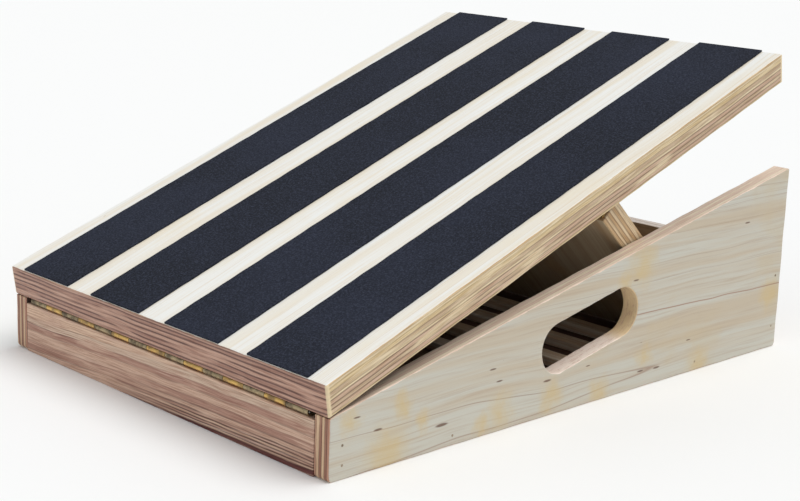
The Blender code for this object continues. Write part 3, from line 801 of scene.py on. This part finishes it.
# %% The grip strips
STRIP_WIDTH, STRIP_SPACING, STRIP_THICK = 0.050, 0.075, 0.0010
for k in range(4):
    rings = board_rings(STRIP_WIDTH, PLATFORM_LENGTH - 0.0008, STRIP_THICK, 0.0003, 40 + k, 0.0025)
    y = rings[..., 1]
    rings[..., 0] += np.sign(rings[..., 0]) * 0.00016 * wander(y + rings[..., 0], 50 + k, 0.03)
    rings[..., 2] += 0.00007 * wander(y, 60 + k, 0.02) * wander(rings[..., 0], 70 + k, 0.015)
    centre = np.array([(k - 1.5) * STRIP_SPACING, 0, 0])
    level = PLATFORM_UNDER + PLATFORM_THICK + STRIP_THICK / 2 + 0.0001
    make_piece(f"grip_tape_{k + 1}", on_platform(sheared(rings + centre, level)), board_faces(rings),
               "platform", [f"grip_strip_{k + 1}"], GRIP)

# %% [markdown]
# ## The prop
# The prop hangs from its hinge and leans back to the floor. It is a plain panel, so it uses the same
# board function, laid down in the prop's own frame: along runs down the prop to its foot.

# %% The prop panel
PROP_WIDTH, PROP_THICK, PROP_TOP = 0.279, 0.017, 0.0033
PROP_REACH = 0.13846
prop_rings = board_rings(PROP_WIDTH, PROP_REACH - PROP_TOP, PROP_THICK, 0.0008, 81)
prop_points = on_prop(prop_rings + np.array([0, (PROP_REACH + PROP_TOP) / 2, -PROP_THICK / 2]))
PROP = board_finish("prop_plywood", PROP_THICK / 2 / MM, 23.1,
                    (tint(214, 196, 166), tint(196, 168, 134), tint(240, 222, 192), tint(214, 184, 146)))
make_piece("prop_board", prop_points, board_faces(prop_rings), "prop",
           ["prop_panel"], PROP, prop_rings.reshape(-1, 3) / MM)

# %% [markdown]
# ## Piano hinges
# A piano hinge is two long leaves of brass sheet. Every second knuckle is rolled from one leaf's edge
# and the rest from the other, and a steel pin runs through all of them. The sheet is followed as a
# path: from the end of the roll, round the pin and out along the leaf. Sections of that path are
# solid or left out, knuckle by knuckle, and small walls close the sheet at every cut.

# %% A leaf rolled from sheet
KNUCKLES, ROLL_ANGLE = 15, math.radians(310)


def rolled_leaf(barrel, sheet, width, pitch, first, along, side, steps=30):
    """Points and faces of one leaf in the (y, z) plane of its frame, run along X.

    The middle of the sheet is at angle t round the pin, radius r = barrel - sheet / 2, at
    (-r sin t, r cos t); its two skins lie half the sheet's thickness inside and outside it.
    """
    middle = barrel - sheet / 2
    turn = ROLL_ANGLE * (1 - np.linspace(0, 1, steps + 1))
    normal = np.stack([-np.sin(turn), np.cos(turn)], -1)
    strip = np.array([[barrel + 0.0006, middle], [(barrel + width) / 2, middle], [width - 0.0003, middle],
                      [width, middle]])
    path = np.concatenate([normal * middle, strip])
    normal = np.concatenate([normal, np.repeat([[0.0, 1.0]], len(strip), 0)])
    knuckle = np.arange(KNUCKLES)
    own = knuckle[knuckle % 2 == first]
    cuts = np.stack([(own - KNUCKLES / 2) * pitch + 0.0002, (own + 1 - KNUCKLES / 2) * pitch - 0.0002], -1)
    stations = np.concatenate([[-KNUCKLES * pitch / 2], cuts.ravel(), [KNUCKLES * pitch / 2]])
    columns = len(path)
    solid = np.zeros((len(stations) - 1, columns - 1), bool)
    solid[1::2] = True
    solid[:, steps + 1:] = True

    skins = np.stack([path - normal * sheet / 2, path + normal * sheet / 2], 1)
    plane = skins[..., :1] * np.array(along) + skins[..., 1:] * np.array(side)
    x = np.broadcast_to(stations[:, None, None], (len(stations), columns, 2))
    points = np.stack([x, *(np.broadcast_to(plane[..., k], x.shape) for k in (0, 1))], -1)

    number = np.arange(points[..., 0].size).reshape(points.shape[:3])
    here, right = (slice(None, -1), slice(None, -1)), (slice(1, None), slice(None, -1))
    across, up = (slice(1, None), slice(1, None)), (slice(None, -1), slice(1, None))
    low, high = number[..., 0], number[..., 1]
    padded = np.pad(solid, 1)
    inner = (slice(1, -1), slice(1, -1))
    skin_faces = [np.stack([high[here], high[right], high[across], high[up]], -1)[solid],
                  np.stack([low[up], low[across], low[right], low[here]], -1)[solid]]
    walls = [(np.roll(padded, 1, 0), (high[here], high[up], low[up], low[here])),
             (np.roll(padded, -1, 0), (high[right], low[right], low[across], high[across])),
             (np.roll(padded, 1, 1), (high[here], low[here], low[right], high[right])),
             (np.roll(padded, -1, 1), (high[up], high[across], low[across], low[up]))]
    wall_faces = [np.stack(corners, -1)[solid & ~neighbour[inner]] for neighbour, corners in walls]
    faces = np.concatenate(skin_faces + wall_faces)
    used, packed = np.unique(faces, return_inverse=True)
    return points.reshape(-1, 3)[used], packed.reshape(-1, 4)


# %% The four leaves
MAIN_LEAF = dict(barrel=0.0020, sheet=0.0008, width=0.0130, pitch=0.0180)
PROP_LEAF = dict(barrel=0.0030, sheet=0.0009, width=0.0155, pitch=0.0184)
PROP_PIN_ON_PLATFORM = np.array([0.0, 0.2485, -0.0010])


def hinge_leaf(name, node, body, place, first, along, side, sizes, metal, origin=(0, 0, 0)):
    points, faces = rolled_leaf(first=first, along=along, side=side, **sizes)
    make_piece(name, place(points + np.array(origin)), [faces], body, [node], metal, sharp=30)


def on_base(points):
    return points + MAIN_PIN


# The front hinge's lower leaf takes the darker brass copy, which is painted shade.
hinge_leaf("front_hinge_lower_leaf", "main_hinge_base_leaf", "base", on_base, 0, (1, 0), (0, -1), MAIN_LEAF,
           PAINTED_SHADE_BRASS)
hinge_leaf("front_hinge_upper_leaf", "main_hinge_platform_leaf", "platform", on_platform, 1, (1, 0), (0, 1),
           MAIN_LEAF, BRASS)
hinge_leaf("prop_hinge_upper_leaf", "prop_hinge_platform_leaf", "platform", on_platform, 0, (-1, 0), (0, 1),
           PROP_LEAF, BRASS, PROP_PIN_ON_PLATFORM)
hinge_leaf("prop_hinge_lower_leaf", "prop_hinge_prop_leaf", "prop", on_prop, 1, (0, -1), (1, 0),
           PROP_LEAF, BRASS)

# %% [markdown]
# ## Pins, screws and nails
# All of these are turned: a profile of radius and height is spun round an axis. A screw's head gets a
# cross recess by pressing its dome down where either of two crossed slots passes, so the recess is
# real and not painted on.

# %% Turned shapes


def turned(profile, around=32):
    """Radius and height spun about Z: (r cos t, r sin t, h), closed by a flat cap at each end."""
    profile = np.asarray(profile, float)
    turn = np.arange(around) * 2 * math.pi / around
    x = profile[:, :1] * np.cos(turn)
    y = profile[:, :1] * np.sin(turn)
    points = np.stack([x, y, np.broadcast_to(profile[:, 1:], x.shape)], -1)
    last = (len(profile) - 1) * around
    caps = [np.arange(around)[None, ::-1], last + np.arange(around)[None, :]]
    return points.reshape(-1, 3), [grid_faces(len(profile), around, False, True)[:, ::-1]] + caps


def aimed(points, seat, axis):
    """Turns a shape made along Z to look along axis, and moves its base to seat."""
    turn = np.array(Vector((0, 0, 1)).rotation_difference(Vector(axis)).to_matrix())
    return points @ turn.T + np.array(seat)


def gathered(shapes):
    """Several equal shapes as one list of points and one of faces."""
    count = len(shapes[0][0])
    points = np.concatenate([shape[0] for shape in shapes])
    groups = [np.concatenate([group + k * count for k in range(len(shapes))]) for group in shapes[0][1]]
    return points, groups


def hinge_rod(name, node, body, place, origin, sizes):
    radius = sizes["barrel"] - sizes["sheet"] - 0.0003
    half = KNUCKLES * sizes["pitch"] / 2
    ease = radius * 0.35
    turn = np.linspace(0, math.pi / 2, 6)
    tip = np.stack([radius - ease + ease * np.sin(turn), -half + ease * (1 - np.cos(turn))], -1)
    profile = np.concatenate([tip, (tip * np.array([1, -1]))[::-1]])
    points, faces = turned(profile, 24)
    make_piece(name, place(aimed(points, origin, (1, 0, 0))), faces, body, [node], STEEL)


hinge_rod("front_hinge_rod", "main_hinge_pin", "hinge_pin", on_base, (0, 0, 0), MAIN_LEAF)
hinge_rod("prop_hinge_rod", "prop_hinge_pin", "platform", on_platform, PROP_PIN_ON_PLATFORM, PROP_LEAF)

# %% Pan-head screws
HEAD_RADIUS, HEAD_HEIGHT, SHANK = 0.0023, 0.0011, 0.0011
SCREW_X = (np.arange(6) - 2.5) * 0.050


def pan_head_screw():
    """A dome h(1 - (r/R)^4 / 2) whose top is pressed in by 0.6 mm along two crossed slots."""
    r = np.concatenate([[0.03], np.linspace(0.12, 1.0, 12)]) * HEAD_RADIUS
    dome = HEAD_HEIGHT * (1 - 0.5 * (r / HEAD_RADIUS) ** 4)
    head = np.stack([r, dome], -1)[::-1]
    stem = np.array([[SHANK * 0.3, -0.010], [SHANK, -0.0075], [SHANK, 0.0], [HEAD_RADIUS, 0.0001]])
    points, faces = turned(np.concatenate([stem, head]), 48)
    x, y, z = points.T
    slot = np.minimum(np.abs(x), np.abs(y))
    pressed = np.clip((0.00042 - slot) / 0.00016, 0, 1) * np.clip((0.0014 - np.hypot(x, y)) / 0.0002, 0, 1)
    points[:, 2] = z - 0.0006 * pressed * (z > HEAD_HEIGHT * 0.5)
    return points, faces


def screw_row(name, node, body, place, sizes, along, side, origin=(0, 0, 0)):
    """Six screws 8.2 mm from the pin, their heads on the leaf's inner skin."""
    points, faces = pan_head_screw()
    inner = sizes["barrel"] - sizes["sheet"] - 0.0001
    offset = np.array(along) * 0.0082 + np.array(side) * inner
    turns = np.random.default_rng(len(name)).random(6) * math.pi
    shapes = []
    for x, turn in zip(SCREW_X, turns):
        spin = np.array(Matrix.Rotation(turn, 3, "Z"))
        seat = np.array(origin) + np.array([x, *offset])
        shapes.append((aimed(points @ spin.T, seat, (0, -side[0], -side[1])), faces))
    row_points, row_faces = gathered(shapes)
    make_piece(name, place(row_points), row_faces, body,
               [f"{node}_{k}" for k in range(1, 7)], SCREW, sharp=35)


screw_row("front_hinge_lower_screws", "main_hinge_base_screw", "base", on_base, MAIN_LEAF, (1, 0), (0, -1))
screw_row("front_hinge_upper_screws", "main_hinge_platform_screw", "platform", on_platform, MAIN_LEAF,
          (1, 0), (0, 1))
screw_row("prop_hinge_upper_screws", "prop_hinge_platform_screw", "platform", on_platform, PROP_LEAF,
          (-1, 0), (0, 1), PROP_PIN_ON_PLATFORM)
screw_row("prop_hinge_lower_screws", "prop_hinge_prop_screw", "prop", on_prop, PROP_LEAF, (0, -1), (1, 0))

# %% Nails in the sides
for side, sign in (("right", 1), ("left", -1)):
    head = [(0.0003, -0.029), (0.0008, -0.027), (0.0008, -0.0002), (0.00075, 0.00005), (0.0005, 0.00012),
            (0.0001, 0.00014)]
    nail, nail_faces = turned(head, 20)
    seats = []
    for k in range(1, 7):
        low, high = (np.array(corner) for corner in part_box(f"side_brad_{side}_{k}"))
        seats.append([sign * max(abs(low[0]), abs(high[0])), (low[1] + high[1]) / 2, (low[2] + high[2]) / 2])
    nails, nail_groups = gathered([(aimed(nail, seat, (sign, 0, 0)), nail_faces) for seat in seats])
    make_piece(f"side_nails_{side}", nails, nail_groups, "base",
               [f"side_brad_{side}_{k}" for k in range(1, 7)], NAIL)

# %% [markdown]
# ## Floor, light and camera
# The board stands on a plain pale floor. One very soft light overhead makes the platform the
# brightest surface, and a white sky fills the shadows on the front and the sides.

# %% The floor
floor_mesh = bpy.data.meshes.new("studio_floor")
FLOOR_HALF = 9
floor_corners = [(a * FLOOR_HALF, b * FLOOR_HALF, 0) for a, b in ((-1, -1), (1, -1), (1, 1), (-1, 1))]
floor_mesh.from_pydata(floor_corners, [], [(0, 1, 2, 3)])
floor = bpy.data.objects.new("studio_floor", floor_mesh)
bpy.context.scene.collection.objects.link(floor)
paper = Finish("studio_paper", 0.9, specular=0.1)
paper.shader.inputs["Base Color"].default_value = (0.93, 0.93, 0.925, 1.0)
floor.data.materials.append(paper.material)

# %% Lights


def soft_sun(name, towards, spread, strength, colour):
    """A sun so wide, spread degrees across, that it works like a large softbox far away."""
    lamp = bpy.data.lights.new(name, "SUN")
    lamp.angle, lamp.energy, lamp.color = math.radians(spread), strength, colour
    made = bpy.data.objects.new(name, lamp)
    made.rotation_euler = (-Vector(towards)).to_track_quat("-Z", "Y").to_euler()
    bpy.context.scene.collection.objects.link(made)


world = bpy.data.worlds.new("white_studio")
world.use_nodes = True
world.node_tree.nodes["Background"].inputs[0].default_value = (0.95, 0.975, 1.0, 1.0)
world.node_tree.nodes["Background"].inputs[1].default_value = 0.56
bpy.context.scene.world = world
bpy.context.scene.view_settings.view_transform = "Standard"
soft_sun("overhead", (0.32, 0.25, 1.0), 50, 1.75, (1.0, 0.99, 0.97))

# %% The camera
CAMERA_AT = Vector((0.74139612, -0.72053153, 0.31421167))
AZIMUTH, ELEVATION, ROLL = (math.radians(a) for a in (46.1346, 13.5783, 1.8785))
back = Vector((math.sin(AZIMUTH) * math.cos(ELEVATION), -math.cos(AZIMUTH) * math.cos(ELEVATION),
               math.sin(ELEVATION)))
right = (-back).cross(Vector((0, 0, 1))).normalized()
up = right.cross(-back)
level_right = right * math.cos(ROLL) + up * math.sin(ROLL)
level_up = up * math.cos(ROLL) - right * math.sin(ROLL)
lens = bpy.data.cameras.new("studio_camera")
lens.sensor_width, lens.lens = 36.0, 73.43
camera = bpy.data.objects.new("studio_camera", lens)
facing = Matrix((level_right, level_up, back)).transposed().to_4x4()
camera.matrix_world = Matrix.Translation(CAMERA_AT) @ facing
bpy.context.scene.collection.objects.link(camera)
bpy.context.scene.camera = camera
print("camera at", CAMERA_AT[:], "lens", lens.lens)
